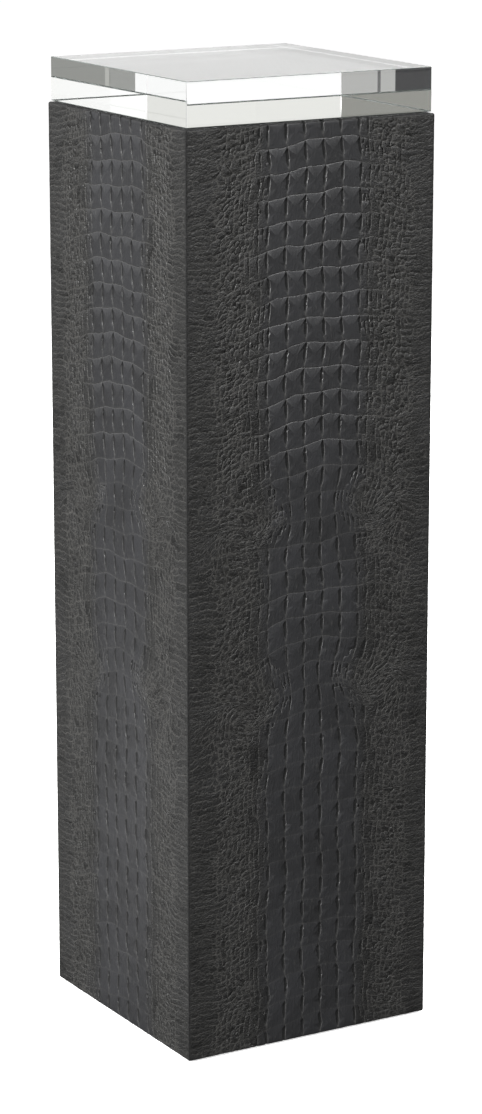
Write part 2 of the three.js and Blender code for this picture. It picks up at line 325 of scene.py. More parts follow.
def embossed(seed, low, high):
    """Flat sheet of embossed hide from low to high, a little wider than a face, crowns at height 0."""
    rng = random.Random(seed)
    bm = cells_round(scale_plan(rng, low - 40 * MM, high + 40 * MM))
    kinds = bm.faces.layers.int["kind"]
    long_steps = [e for e in bm.edges if e.calc_length() > ROUNDER_FROM]
    bmesh.ops.subdivide_edges(bm, edges=long_steps, cuts=1)
    depth = {}
    for v in bm.verts:
        runs = [groove_depth((e.verts[0].co + e.verts[1].co) / 2, e.verts[1].co - e.verts[0].co)
                for e in v.link_edges]
        depth[v] = sum(runs) / len(runs)
    grooves = set(bm.verts)

    tone = bm.faces.layers.float["tone"]
    for face in bm.faces:
        face[tone] = rng.random()
    scales = {kind: [f for f in bm.faces if f[kinds] == kind and f.calc_area() > (2 * width) ** 2]
              for kind, width in GROOVE_HALF.items()}
    for kind, chosen in scales.items():
        width = GROOVE_HALF[kind]
        if kind == BIG:
            step_in(bm, chosen, big_margins, big_floor)
            wall = 0.75 * width
            step_in(bm, chosen, lambda a, b, right: (wall, wall), big_shoulder)
            crown(bm, chosen)
        else:
            raise_pebbles(bm, chosen, kind)
    untangle(bm)
    for v in grooves:
        v.co.z = -depth[v]
    note_relief(bm)
    for v in bm.verts:
        v.co.z *= 1 - 0.4 * ramp(abs(v.co.x), EDGE_ZONE - 14 * MM, EDGE_ZONE + 10 * MM)
        v.co.z *= 0.72 + 0.5 * ramp(v.co.y, WAISTS[0] - 20 * MM, WAISTS[0] + 160 * MM)
        swell = noise.noise(Vector((v.co.x, v.co.y, seed * 3 * MM)) / (11 * MM))
        v.co.z = max(v.co.z + 0.3 * MM * swell, -0.8 * HIDE)
    return bm


def shut(bm):
    """Gives a flat sheet its back: walls down from its rim, skived along the sides, and one flat face."""
    rim = [e for e in bm.edges if e.is_boundary]
    made = bmesh.ops.extrude_edge_only(bm, edges=rim)["geom"]
    for v in [g for g in made if isinstance(g, bmesh.types.BMVert)]:
        v.co.z = -HIDE
        beyond = max(v.co.y - TOP_BEND, BOTTOM_BEND - v.co.y, 0)
        if abs(v.co.x) > SHEET_SIDE - 0.01 * MM and beyond < QUARTER:
            v.co.x -= math.copysign(HIDE * math.cos(beyond / EDGE_RADIUS), v.co.x)
    back_rim = [g for g in made if isinstance(g, bmesh.types.BMEdge)]
    bmesh.ops.contextual_create(bm, geom=back_rim)


def cut(bm, place, normal, clear=False):
    """Cuts a mesh along a plane, and with clear takes away what lies beyond it."""
    bmesh.ops.bisect_plane(
        bm, geom=bm.verts[:] + bm.edges[:] + bm.faces[:], dist=1e-7,
        plane_co=place, plane_no=normal, clear_outer=clear)


QUARTER = EDGE_RADIUS * math.pi / 2
TOP_BEND, BOTTOM_BEND = TOP - EDGE_RADIUS, BOTTOM + EDGE_RADIUS
SHEET_TOP = TOP_BEND + QUARTER + TURN_OVER - EDGE_RADIUS
SHEET_BOTTOM = BOTTOM_BEND - QUARTER - TURN_UNDER + EDGE_RADIUS
SHEET_SIDE = FACE - CORNER_LINE


def turned_round_edges(along, out):
    """Depth and height of a place on the sheet once it is turned over the top and under the bottom."""
    radius = EDGE_RADIUS + out
    if BOTTOM_BEND <= along <= TOP_BEND:
        return -FACE - out, along
    upper = along > TOP_BEND
    beyond = along - TOP_BEND if upper else BOTTOM_BEND - along
    angle = min(beyond / EDGE_RADIUS, math.pi / 2)
    y = EDGE_RADIUS - FACE - radius * math.cos(angle) + max(0, beyond - QUARTER)
    rise = radius * math.sin(angle)
    return y, TOP_BEND + rise if upper else BOTTOM_BEND - rise


def hide_panel(seed):
    """One face's covering, facing -Y: embossed, cut to size, turned over and mitred."""
    bm = embossed(seed, SHEET_BOTTOM, SHEET_TOP)
    plan = bm.verts.layers.float_vector["plan"]
    band = bm.verts.layers.float["band"]
    rim = bm.verts.layers.float["rim"]
    for v in bm.verts:
        v[plan] = (v.co.x, v.co.y, seed)
        v[band] = 1 - ramp(abs(v.co.x), BAND_HALF - 8 * MM, BAND_HALF + 18 * MM)
        v.co.x, v.co.y = warp(v.co.x, v.co.y)
    untangle(bm)
    cut(bm, (0, SHEET_TOP, 0), (0, 1, 0), clear=True)
    cut(bm, (0, SHEET_BOTTOM, 0), (0, -1, 0), clear=True)
    for side in (-1, 1):
        cut(bm, (side * SHEET_SIDE, 0, 0), (side, 0, 0), clear=True)
        cut(bm, (side * SHEET_SIDE, TOP_BEND + QUARTER - EDGE_RADIUS, 0), (side, 1, 0), clear=True)
        cut(bm, (side * SHEET_SIDE, BOTTOM_BEND - QUARTER + EDGE_RADIUS, 0), (side, -1, 0), clear=True)
    shut(bm)
    for step in range(5):
        cut(bm, (0, TOP_BEND + QUARTER * step / 4, 0), (0, 1, 0))
        cut(bm, (0, BOTTOM_BEND - QUARTER * step / 4, 0), (0, 1, 0))
    for side in (-1, 1):
        for inset in (0.6, 2.0):
            cut(bm, (side * (FACE - inset * MM), 0, 0), (1, 0, 0))
    for v in bm.verts:
        inset = FACE - abs(v.co.x)
        # The rim mask marks painted shadow over the top edge, under the block, and a darker band along the
        # corner lines.
        v[rim] = max(1 - ramp(inset, 1.2 * MM, 3.2 * MM), ramp(v.co.y, TOP_BEND, TOP_BEND + QUARTER / 2))
        if v.co.z > -0.9 * HIDE and inset < 2.0 * MM:
            v.co.z -= 0.6 * MM * min(1, 1 - inset / (2.0 * MM)) ** 2
        v.co.y, v.co.z = turned_round_edges(v.co.y, v.co.z)
    bmesh.ops.triangulate(bm, faces=bm.faces[:])
    bm.normal_update()
    return bm


SHARPEST = math.radians(42)
LARGEST_CURVED = 60 * MM**2  # any face larger than this is flat


def piece(name, bm, material, body, slot, *stands_for):
    """Makes a finished mesh into a piece of the object."""
    for face in bm.faces:
        face.smooth = face.calc_area() < LARGEST_CURVED
    for edge in bm.edges:
        edge.smooth = edge.calc_face_angle(0) < SHARPEST
    mesh = bpy.data.meshes.new(name)
    bm.to_mesh(mesh)
    bm.free()
    mesh.materials.append(material)
    made = bpy.data.objects.new(name, mesh)
    bpy.context.scene.collection.objects.link(made)
    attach(made, body)
    if stands_for:
        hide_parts(*stands_for)
    return made


class Value:
    """A shader socket that takes part in sums."""

    def __init__(self, finish, socket):
        self.finish, self.socket = finish, socket

    def sum(self, operation, *terms):
        return self.finish.node("Math", {"operation": operation}, dict(enumerate(terms)))

    def __add__(self, other):
        return self.sum("ADD", self, other)

    def __sub__(self, other):
        return self.sum("SUBTRACT", self, other)

    def __rsub__(self, other):
        return self.sum("SUBTRACT", other, self)

    def __mul__(self, other):
        return self.sum("MULTIPLY", self, other)

    def __pow__(self, other):
        return self.sum("POWER", self, other)

    __radd__, __rmul__ = __add__, __mul__


class Finish:
    """A material under construction: a Principled surface and the nodes that feed it."""

    def __init__(self, name, **constants):
        self.material = bpy.data.materials.new(name)
        self.material.use_nodes = True
        self.tree = self.material.node_tree
        self.surface = self.tree.nodes["Principled BSDF"]
        self.set(**constants)

    def set(self, **values):
        for name, value in values.items():
            self.plug(self.surface.inputs[name.replace("_", " ").title().replace("Ior", "IOR")], value)

    def plug(self, socket, value):
        if isinstance(value, Value):
            self.tree.links.new(value.socket, socket)
        elif socket.type == "RGBA" and len(value) == 3:
            socket.default_value = (*value, 1)
        else:
            socket.default_value = value

    def node(self, kind, settings=None, sockets=None, output=0):
        made = self.tree.nodes.new("ShaderNode" + kind)
        for name, setting in (settings or {}).items():
            setattr(made, name, setting)
        for name, value in (sockets or {}).items():
            self.plug(made.inputs[name], value)
        return Value(self, made.outputs[output])

    def attribute(self, name, output="Fac"):
        return self.node("Attribute", {"attribute_name": name}, output=output)

    def mix(self, factor, low, high):
        settings = {"data_type": "RGBA"}
        return self.node("Mix", settings, {"Factor": factor, 6: low, 7: high}, output=2)

    def noise(self, place, scale, detail=2, stretch=(1, 1, 1)):
        laid = self.node("Mapping", {}, {"Vector": place, "Scale": stretch})
        return self.node("TexNoise", {}, {"Vector": laid, "Scale": scale, "Detail": detail})

    def noise_colour(self, place, scale):
        return self.node("TexNoise", {}, {"Vector": place, "Scale": scale, "Detail": 1}, output=1)

    def bump(self, height, distance, strength=1.0, below=None):
        sockets = {"Height": height, "Distance": distance, "Strength": strength}
        if below:
            sockets["Normal"] = below
        return self.node("Bump", {}, sockets)


# The hide's colour follows the emboss: painted shade, partly dye, darkens the deep slits; a painted
# highlight, partly rubbed wear, lightens their walls and the shallow creases; painted shadow darkens the
# rim over the top edge, under the block, and the colour darkens along the corner lines; it is bluer on the
# band and browner on the flanks. Bump adds only wrinkles, fine creases and pores.
hide = Finish("charcoal_embossed_hide", specular_ior_level=0.36, coat_roughness=0.35)
relief, band, rim, tone = (hide.attribute(name) for name in ("relief", "band", "rim", "tone"))
plan = hide.attribute("plan", "Vector")
patches = hide.noise(plan, 16, 3)
striae = hide.noise(plan, 1, 3, (230, 24, 1))
wrinkles = hide.noise(plan, 1, 4, (420, 170, 1))
bent = hide.node("VectorMath", {"operation": "MULTIPLY_ADD"},
                 {0: hide.noise_colour(plan, 90), 1: (0.006, 0.006, 0), 2: plan})
laid = hide.node("Mapping", {}, {"Vector": bent, "Scale": (210, 290, 1)})
crease = hide.node("TexVoronoi", {"feature": "DISTANCE_TO_EDGE"}, {"Vector": laid, "Scale": 1})
crease = hide.node("MapRange", {}, {"Value": crease, "From Min": 0.0, "From Max": 0.16})
colour = hide.mix(band * 0.9 + (patches - 0.5) * 1.1, (0.0150, 0.0148, 0.0141), (0.0232, 0.0236, 0.0257))
colour = hide.mix((tone - 0.3) * 0.5, colour, (0.012, 0.012, 0.0125))
colour = hide.mix((tone - 0.66) * (1.1 - band) * 2.4, colour, (0.0055, 0.0054, 0.005))
colour = hide.mix((wrinkles - 0.58) * 2.0 + (striae - 0.55) * band * 1.6, colour, (0.07, 0.069, 0.065))
# Painted highlight, partly rubbed wear: the shoulders of the scales and the shallow creases are made
# lighter, as where light catches them.
worn_and_highlight = (relief - 0.35) * (0.88 - relief) * 14.2
rubbed_and_highlight = hide.mix(band, (0.105, 0.102, 0.095), (0.105, 0.103, 0.097))
colour = hide.mix(worn_and_highlight * (0.3 + patches * 0.4), colour, rubbed_and_highlight)
# Painted shade, partly dye: the deeper a groove lies, the darker it is made.
colour = hide.mix((1 - relief) ** 1.3 * 0.96, colour, (0.004, 0.004, 0.004))
# Painted shadow: the rim mask darkens the hide over the top edge, under the block, and also along the
# corner lines and towards the inlay's edge.
colour = hide.mix(rim * 0.95, colour, (0.003, 0.003, 0.003))
pores = hide.node("TexVoronoi", {"feature": "F1"}, {"Vector": plan, "Scale": 900})
normal = hide.bump(striae * band, 0.5 * MM, 0.9)
normal = hide.bump(crease * (1.15 - band), 0.3 * MM, 0.8, below=normal)
normal = hide.bump(wrinkles, 0.6 * MM, 0.7, below=normal)
normal = hide.bump(pores, 0.12 * MM, 0.5, below=normal)
hide.set(base_color=colour, normal=normal, coat_weight=relief * 0.12,
         roughness=0.42 + (1 - relief) * 0.3 + (patches - 0.5) * 0.25 + rim * 0.4)

FIRST_SEED = 11  # each panel has its own irregularities
for turn, side in enumerate(("front", "right", "rear", "left")):
    panel = hide_panel(FIRST_SEED + turn)
    bmesh.ops.rotate(panel, verts=panel.verts, cent=(0, 0, 0),
                     matrix=Matrix.Rotation(turn * math.pi / 2, 3, "Z"))
    piece(f"hide_{side}", panel, hide.material, "column", "leather", f"leather_{side}")

# ---------------------------------------------------------------------------------------------------
# The top inlay. A square of the same hide, pressed with small pebbles only, is glued to the top panel
# inside the turned-over edges, and shows dark through the clear block.
# ---------------------------------------------------------------------------------------------------

PEBBLE_SIZE = 7.6 * MM
PEBBLE_STRAY = 0.32
INLAY_GROOVE = 0.6 * MM
INLAY_SUNK = 0.06 * MM
INLAY_RIM = 1.5 * MM
INLAY_SEED = 21
_, inlay_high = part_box("leather_top")
inlay_half = inlay_high.x
rng = random.Random(INLAY_SEED)
seeds = []
reach = int(inlay_half / PEBBLE_SIZE) + 3
for i in range(-reach, reach + 1):
    for j in range(-reach, reach + 1):
        across = i + 0.5 * (j % 2) + rng.uniform(-PEBBLE_STRAY, PEBBLE_STRAY)
        up = j + rng.uniform(-PEBBLE_STRAY, PEBBLE_STRAY)
        seeds.append((Vector((across, up)) * PEBBLE_SIZE, (i, j), PEBBLE))
inlay = cells_round(seeds)
grooves = list(inlay.verts)
for face in inlay.faces:
    face[inlay.faces.layers.float["tone"]] = rng.random()
raise_pebbles(inlay, inlay.faces[:], PEBBLE)
untangle(inlay)
for v in grooves:
    v.co.z = -INLAY_GROOVE * patchy(v.co.x, v.co.y, 12 * MM, 0.5)
note_relief(inlay)
for direction in ((1, 0, 0), (-1, 0, 0), (0, 1, 0), (0, -1, 0)):
    cut(inlay, Vector(direction) * inlay_half, direction, clear=True)
shut(inlay)
plan_of, rim_of = inlay.verts.layers.float_vector["plan"], inlay.verts.layers.float["rim"]
for v in inlay.verts:
    v[plan_of] = (v.co.x, v.co.y, INLAY_SEED)
    # The rim mask makes the inlay darker towards its edge.
    v[rim_of] = ramp(max(abs(v.co.x), abs(v.co.y)), inlay_half - INLAY_RIM, inlay_half)
bmesh.ops.translate(inlay, verts=inlay.verts, vec=(0, 0, inlay_high.z - INLAY_SUNK))
bmesh.ops.triangulate(inlay, faces=inlay.faces[:])
piece("top_inlay", inlay, hide.material, "column", "leather", "leather_top")

# ---------------------------------------------------------------------------------------------------
# The carcass. Four walls and a top panel of medium fibreboard, sawn with mitred corners and glued. On the
# boards the faces are smooth and the sawn edges rougher and darker; here one finish of fibres, clouds and
# dark flecks covers both.
# ---------------------------------------------------------------------------------------------------


def dress(material, *nodes):
    """Gives solids whose shape is already right their finish."""
    for name in nodes:
        for slot in bpy.data.objects[name].material_slots:
            slot.material = material


board = Finish("fibreboard", roughness=0.8, specular_ior_level=0.25)
place = board.node("TexCoord", output="Object")
fibres = board.noise(place, 420, 5)
clouds = board.noise(place, 22, 3)
flecks = board.noise(place, 1, 2, (1500, 260, 260))
colour = board.mix(fibres * 0.7 + clouds * 0.4, (0.20, 0.118, 0.062), (0.42, 0.285, 0.165))
colour = board.mix((flecks - 0.6) * 3.0, colour, (0.12, 0.07, 0.038))
board.set(base_color=colour, roughness=0.62 + fibres * 0.3,
          normal=board.bump(fibres, 0.25 * MM, 0.6, below=board.bump(flecks, 0.2 * MM, 0.4)))
dress(board.material, "wall_front", "wall_right", "wall_rear", "wall_left", "top_panel")

# ---------------------------------------------------------------------------------------------------
# The base panel and the two braces. Birch plywood: rotary-cut veneers with a faint cathedral grain on the
# faces, and thin dark glue lines between the plies at every sawn edge.
# ---------------------------------------------------------------------------------------------------

PLY = 1.4 * MM
GLUE_LINE = 0.22 * MM

ply = Finish("birch_plywood", specular_ior_level=0.3)
place = ply.node("TexCoord", output="Object")
facing = ply.node("NewGeometry", output="Normal")
flatness = ply.node("SeparateXYZ", {}, {0: facing}, output=2)
on_face = ply.node("MapRange", {}, {"Value": flatness * flatness, "From Min": 0.4, "From Max": 0.6})
height = ply.node("SeparateXYZ", {}, {0: place}, output=2)
layer = ply.node("Math", {"operation": "PINGPONG"}, {0: height, 1: PLY})
glue = ply.node("MapRange", {}, {"Value": layer, "From Min": 0.0, "From Max": GLUE_LINE,
                                 "To Min": 1, "To Max": 0})
cross_band = ply.node("Math", {"operation": "GREATER_THAN"},
                      {0: ply.node("Math", {"operation": "PINGPONG"}, {0: height, 1: 2 * PLY}), 1: PLY})
grain = ply.noise(place, 1, 4, (14, 260, 60))
waves = ply.node("TexWave", {"wave_type": "RINGS", "rings_direction": "Y"},
                 {"Vector": place, "Scale": 16, "Distortion": 9, "Detail": 3, "Detail Scale": 0.7})
veneer = ply.mix(grain * 0.6 + waves * 0.35, (0.50, 0.345, 0.20), (0.73, 0.585, 0.405))
edge = ply.mix(cross_band * 0.6 + grain * 0.4, (0.62, 0.46, 0.29), (0.36, 0.235, 0.13))
edge = ply.mix(glue * 0.85, edge, (0.06, 0.032, 0.016))
ply.set(base_color=ply.mix(on_face, edge, veneer), roughness=0.5 + grain * 0.3,
        normal=ply.bump(grain, 0.2 * MM, 0.5))
dress(ply.material, "base_panel", "brace_lower", "brace_upper")

# ---------------------------------------------------------------------------------------------------
# The battens. Planed pine, 25 mm square, glued up the four inner corners; the grain runs upwards, with
# early wood pale and late wood orange.
# ---------------------------------------------------------------------------------------------------

pine = Finish("planed_pine", specular_ior_level=0.3)
place = pine.node("TexCoord", output="Object")
laid = pine.node("Mapping", {}, {"Vector": place, "Location": (0.03, 0.02, 0), "Scale": (1, 1, 0.035)})
rings = pine.node("TexWave", {"wave_type": "RINGS", "rings_direction": "Z", "wave_profile": "SAW"},
                  {"Vector": laid, "Scale": 75, "Distortion": 5, "Detail": 3, "Detail Scale": 1.2})
fibre = pine.noise(place, 1, 4, (900, 900, 18))
colour = pine.mix(rings * 0.75 + fibre * 0.2, (0.78, 0.58, 0.34), (0.50, 0.27, 0.105))
pine.set(base_color=colour, roughness=0.5 + fibre * 0.25,
         normal=pine.bump(rings * 0.5 + fibre, 0.18 * MM, 0.5))
CORNERS = ("front_left", "front_right", "rear_right", "rear_left")
dress(pine.material, *(f"batten_{corner}" for corner in CORNERS))

# ---------------------------------------------------------------------------------------------------
# The wood screws. Eight countersunk 4.2 by 45 mm screws in yellow zinc, four down through the top panel
# and four up through the base panel into the battens: cross recess, plain neck, rolled thread and point.
# ---------------------------------------------------------------------------------------------------

SCREW_LONG = 45 * MM
HEAD_RADIUS = 4.2 * MM
HEAD_DEEP = 3.4 * MM
NECK_RADIUS = 1.9 * MM
CORE_RADIUS = 1.35 * MM
THREAD_RADIUS = 2.05 * MM
THREAD_PITCH = 2.0 * MM
POINT = 5 * MM
RECESS_REACH, RECESS_HALF, RECESS_DEEP = 2.2 * MM, 0.55 * MM, 1.7 * MM


def turned(bm, profile, steps=40):
    """Turns a profile of radius and height, which starts and ends on the axis, into a solid."""
    points = [bm.verts.new((radius, 0, z)) for radius, z in profile]
    lines = [bm.edges.new(pair) for pair in zip(points, points[1:])]
    bmesh.ops.spin(bm, geom=points + lines, cent=(0, 0, 0), axis=(0, 0, 1), angle=2 * math.pi,
                   steps=steps, use_merge=True, use_duplicate=False)
    bmesh.ops.remove_doubles(bm, verts=bm.verts, dist=0.001 * MM)
    bmesh.ops.recalc_face_normals(bm, faces=bm.faces)


def thread(bm, core, crest, pitch, low, high, per_turn=20):
    """Winds one ridge of thread from low to high round a core, closed at both ends."""
    turns = (high - low) / pitch - 1
    half = 0.42 * pitch
    root = core - 0.05 * MM
    profile = ((root, 0), (crest, 0.8 * half), (crest, 1.2 * half), (root, 2 * half))
    ridge = bm.faces.new([bm.verts.new((radius, 0, low + z)) for radius, z in profile])
    steps = int(turns * per_turn)
    bmesh.ops.spin(bm, geom=[ridge], cent=(0, 0, 0), axis=(0, 0, 1), angle=2 * math.pi * turns,
                   dvec=(0, 0, turns * pitch / steps), steps=steps)


def wood_screw():
    """A screw with its head's top at height 0, pointing down."""
    bm = bmesh.new()
    thread(bm, CORE_RADIUS, THREAD_RADIUS, THREAD_PITCH, -SCREW_LONG + 0.6 * POINT, -16 * MM, 16)
    bmesh.ops.recalc_face_normals(bm, faces=bm.faces)
    shank = bmesh.new()
    turned(shank, ((0, -SCREW_LONG), (0.25 * MM, -SCREW_LONG + 0.3 * MM),
                   (CORE_RADIUS, -SCREW_LONG + POINT), (CORE_RADIUS, -15.5 * MM),
                   (NECK_RADIUS, -15 * MM), (NECK_RADIUS, -HEAD_DEEP - 0.5 * MM),
                   (HEAD_RADIUS, -0.35 * MM), (HEAD_RADIUS, -0.1 * MM), (HEAD_RADIUS - 0.15 * MM, 0),
                   (RECESS_REACH + 0.4 * MM, 0)), 32)
    bmesh.ops.contextual_create(shank, geom=[e for e in shank.edges if e.is_boundary])
    for axis in (Vector((1, 0, 0)), Vector((0, 1, 0))):
        for side in (-1, 1):
            top = [f for f in shank.faces
                   if f.calc_center_median().z > -0.01 * MM and f.normal.z ** 2 > 0.99]
            top += list({v for f in top for v in f.verts}) + list({e for f in top for e in f.edges})
            bmesh.ops.bisect_plane(shank, geom=top, dist=1e-7, plane_co=axis * side * RECESS_HALF,
                                   plane_no=axis)
    slot = [f for f in shank.faces if abs(f.normal.z) > 0.99 and f.calc_center_median().z > -0.01 * MM
            and f.calc_center_median().xy.length < RECESS_REACH
            and min(abs(f.calc_center_median().x), abs(f.calc_center_median().y)) < RECESS_HALF]
    sunk = bmesh.ops.extrude_face_region(shank, geom=slot)["geom"]
    bmesh.ops.delete(shank, geom=slot, context="FACES_ONLY")
    low_points = [g for g in sunk if isinstance(g, bmesh.types.BMVert)]
    bmesh.ops.translate(shank, verts=low_points, vec=(0, 0, -RECESS_DEEP))
    bmesh.ops.scale(shank, verts=low_points, vec=(0.62, 0.62, 1))
    bmesh.ops.recalc_face_normals(shank, faces=shank.faces)
    return joined(bm, shank)


def joined(*parts):
    """One bmesh from several, which are used up."""
    whole = parts[0]
    for part in parts[1:]:
        mesh = bpy.data.meshes.new("part")
        part.to_mesh(mesh)
        part.free()
        whole.from_mesh(mesh)
        bpy.data.meshes.remove(mesh)
    return whole


def plated(name, colour, stained, roughness):
    """Zinc plate: bright with a faint crystal mottle, duller where it was handled."""
    made = Finish(name, metallic=1.0)
    place = made.node("TexCoord", output="Object")
    mottle = made.noise(place, 900, 3)
    dull = made.noise(place, 120, 3)
    made.set(base_color=made.mix((dull - 0.35) * 1.6, colour, stained),
             roughness=roughness + (mottle - 0.4) * 0.3, normal=made.bump(mottle, 0.04 * MM, 0.5))
    return made


yellow_zinc = plated("yellow_zinc", (0.78, 0.63, 0.36), (0.55, 0.42, 0.30), 0.32)
for name in [f"{place}_screw_{corner}" for place in ("base", "top") for corner in CORNERS]:
    low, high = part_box(name)
    upwards = name.startswith("base")
    screw = wood_screw()
    if upwards:
        bmesh.ops.rotate(screw, verts=screw.verts, cent=(0, 0, 0), matrix=Matrix.Rotation(math.pi, 3, "X"))
    middle = (low + high) / 2
    bmesh.ops.translate(screw, verts=screw.verts, vec=(middle.x, middle.y, low.z if upwards else high.z))
    piece("cross_" + name, screw, yellow_zinc.material, "column", "zinc", name)

# ---------------------------------------------------------------------------------------------------
# The levelling feet. A tee nut is pressed into the base panel; a zinc stud with an M8 thread and a
# hexagon turns in it, and its foot snaps into a moulded nylon pad that stands on a ribbed rubber sole.
# ---------------------------------------------------------------------------------------------------

STUD_PITCH = 1.25 * MM
STUD_CORE, STUD_CREST = 3.35 * MM, 4 * MM
HEX_ACROSS = 13 * MM
HEX_TALL = 3.0 * MM
SOLE_RIBS = 4
RIB_STEP = 2.6  # in millimetres

white_zinc = plated("bright_zinc", (0.74, 0.75, 0.77), (0.50, 0.51, 0.53), 0.28)
dress(white_zinc.material, *(f"tee_nut_{corner}" for corner in CORNERS))

nylon = Finish("moulded_nylon", specular_ior_level=0.45, coat_roughness=0.2)
place = nylon.node("TexCoord", output="Object")
spark = nylon.noise(place, 1400, 2)
clouds = nylon.noise(place, 90, 3)
nylon.set(base_color=nylon.mix(clouds, (0.018, 0.018, 0.019), (0.032, 0.032, 0.034)),
          roughness=0.38 + (spark - 0.5) * 0.3, normal=nylon.bump(spark, 0.05 * MM, 0.6))

rubber = Finish("soft_rubber", specular_ior_level=0.25)
place = rubber.node("TexCoord", output="Object")
dust = rubber.noise(place, 160, 4)
grit = rubber.noise(place, 1800, 2)
rubber.set(base_color=rubber.mix((dust - 0.45) * 2.0, (0.011, 0.011, 0.011), (0.045, 0.043, 0.040)),
           roughness=0.78 + (dust - 0.5) * 0.3, normal=rubber.bump(grit, 0.08 * MM, 0.7))

for corner in CORNERS:
    low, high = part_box(f"foot_stud_{corner}")
    pad_low, pad_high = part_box(f"foot_pad_{corner}")
    sole_low, sole_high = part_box(f"foot_sole_{corner}")
    middle = (pad_low + pad_high) / 2
    home = Vector((middle.x, middle.y, 0))

    hexagon_low = pad_high.z
    hexagon_high = hexagon_low + HEX_TALL
    rod = bmesh.new()
    turned(rod, ((0, low.z), (2.6 * MM, low.z + 0.4 * MM), (3.0 * MM, low.z + 1.6 * MM),
                 (2.6 * MM, hexagon_low), (STUD_CORE, hexagon_low + 0.3 * MM),
                 (STUD_CORE, high.z - 0.9 * MM), (2.6 * MM, high.z), (0, high.z)))
    ridge = bmesh.new()
    thread(ridge, STUD_CORE, STUD_CREST, STUD_PITCH, hexagon_high, high.z - 0.8 * MM)
    bmesh.ops.recalc_face_normals(ridge, faces=ridge.faces)
    nut = bmesh.new()
    bmesh.ops.create_cone(nut, cap_ends=True, segments=6, radius1=HEX_ACROSS / math.sqrt(3),
                          radius2=HEX_ACROSS / math.sqrt(3), depth=hexagon_high - hexagon_low)
    bmesh.ops.translate(nut, verts=nut.verts, vec=(0, 0, (hexagon_low + hexagon_high) / 2))
    bmesh.ops.bevel(nut, geom=nut.edges, offset=0.35 * MM, affect="EDGES", segments=2, profile=0.5,
                    material=-1)
    stud = joined(rod, ridge, nut)
    bmesh.ops.translate(stud, verts=stud.verts, vec=home)
    piece(f"threaded_stud_{corner}", stud, white_zinc.material, f"stud_{corner}", "zinc",
          f"foot_stud_{corner}")

    wide = pad_high.x - middle.x
    low_z, high_z = pad_low.z, pad_high.z
    pad = bmesh.new()
    turned(pad, ((0, low_z), (wide - 1.2 * MM, low_z), (wide - 0.3 * MM, low_z + 0.3 * MM),
                 (wide, low_z + 1.0 * MM), (wide, low_z + 2.6 * MM), (wide - 0.5 * MM, low_z + 3.2 * MM),
                 (wide - 2.5 * MM, low_z + 3.8 * MM), (9.5 * MM, high_z - 2.0 * MM),
                 (8.2 * MM, high_z - 0.5 * MM), (7.4 * MM, high_z - 0.05 * MM),
                 (7.0 * MM, high_z), (0, high_z)), 56)
    bmesh.ops.translate(pad, verts=pad.verts, vec=home)
    piece(f"nylon_pad_{corner}", pad, nylon.material, f"pad_{corner}", "nylon", f"foot_pad_{corner}")

    wide = sole_high.x - middle.x
    low_z, high_z = sole_low.z, sole_high.z
    ribs = []
    for ring in range(SOLE_RIBS):
        inner = (3.0 + RIB_STEP * ring) * MM
        ribs += [(inner, low_z), (inner + 0.2 * MM, low_z + 0.5 * MM), (inner + 0.9 * MM, low_z + 0.5 * MM),
                 (inner + 1.1 * MM, low_z)]
    sole = bmesh.new()
    turned(sole, ((0, low_z), *ribs, (wide - 0.5 * MM, low_z), (wide, low_z + 0.4 * MM),
                  (wide, high_z), (0, high_z)), 56)
    bmesh.ops.translate(sole, verts=sole.verts, vec=home)
    piece(f"rubber_sole_{corner}", sole, rubber.material, f"pad_{corner}", "rubber", f"foot_sole_{corner}")

# ---------------------------------------------------------------------------------------------------
# The bumpers. Four clear polyurethane domes, 10 mm across, are stuck under the block and hold it a
# millimetre off the leather, so that it doesn't slide or mark it.
# ---------------------------------------------------------------------------------------------------

gel = Finish("clear_polyurethane", base_color=(0.93, 0.94, 0.93), ior=1.5, transmission_weight=1.0)
place = gel.node("TexCoord", output="Object")
gel.set(roughness=0.05 + gel.noise(place, 300, 3) * 0.12)
for corner in CORNERS:
    low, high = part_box(f"bumper_{corner}")
    wide, tall = (high.x - low.x) / 2, high.z - low.z
    dome = bmesh.new()
    top = high.z - 0.02 * MM
    turned(dome, ((0, low.z), (0.45 * wide, low.z), (0.7 * wide, low.z + 0.1 * tall),
                  (0.87 * wide, low.z + 0.32 * tall), (0.97 * wide, low.z + 0.65 * tall),
                  (wide, top), (0, top)))
    bmesh.ops.translate(dome, verts=dome.verts, vec=((low.x + high.x) / 2, (low.y + high.y) / 2, 0))
    piece(f"clear_dome_{corner}", dome, gel.material, "block", "bumper", f"bumper_{corner}")

# ---------------------------------------------------------------------------------------------------
# The clear block. Cast acrylic, 300 mm square and 48 mm thick. Its faces and upright edges are diamond
# polished and only faint wipe marks dull them; its level edges are eased and left matt as milled, and
# coloured dark grey, a painted shade for the dark lines that the bevels show.
# ---------------------------------------------------------------------------------------------------

BLOCK_EASE = 0.8 * MM
LARGEST_EASED = 400 * MM**2  # any larger face is one of the block's own

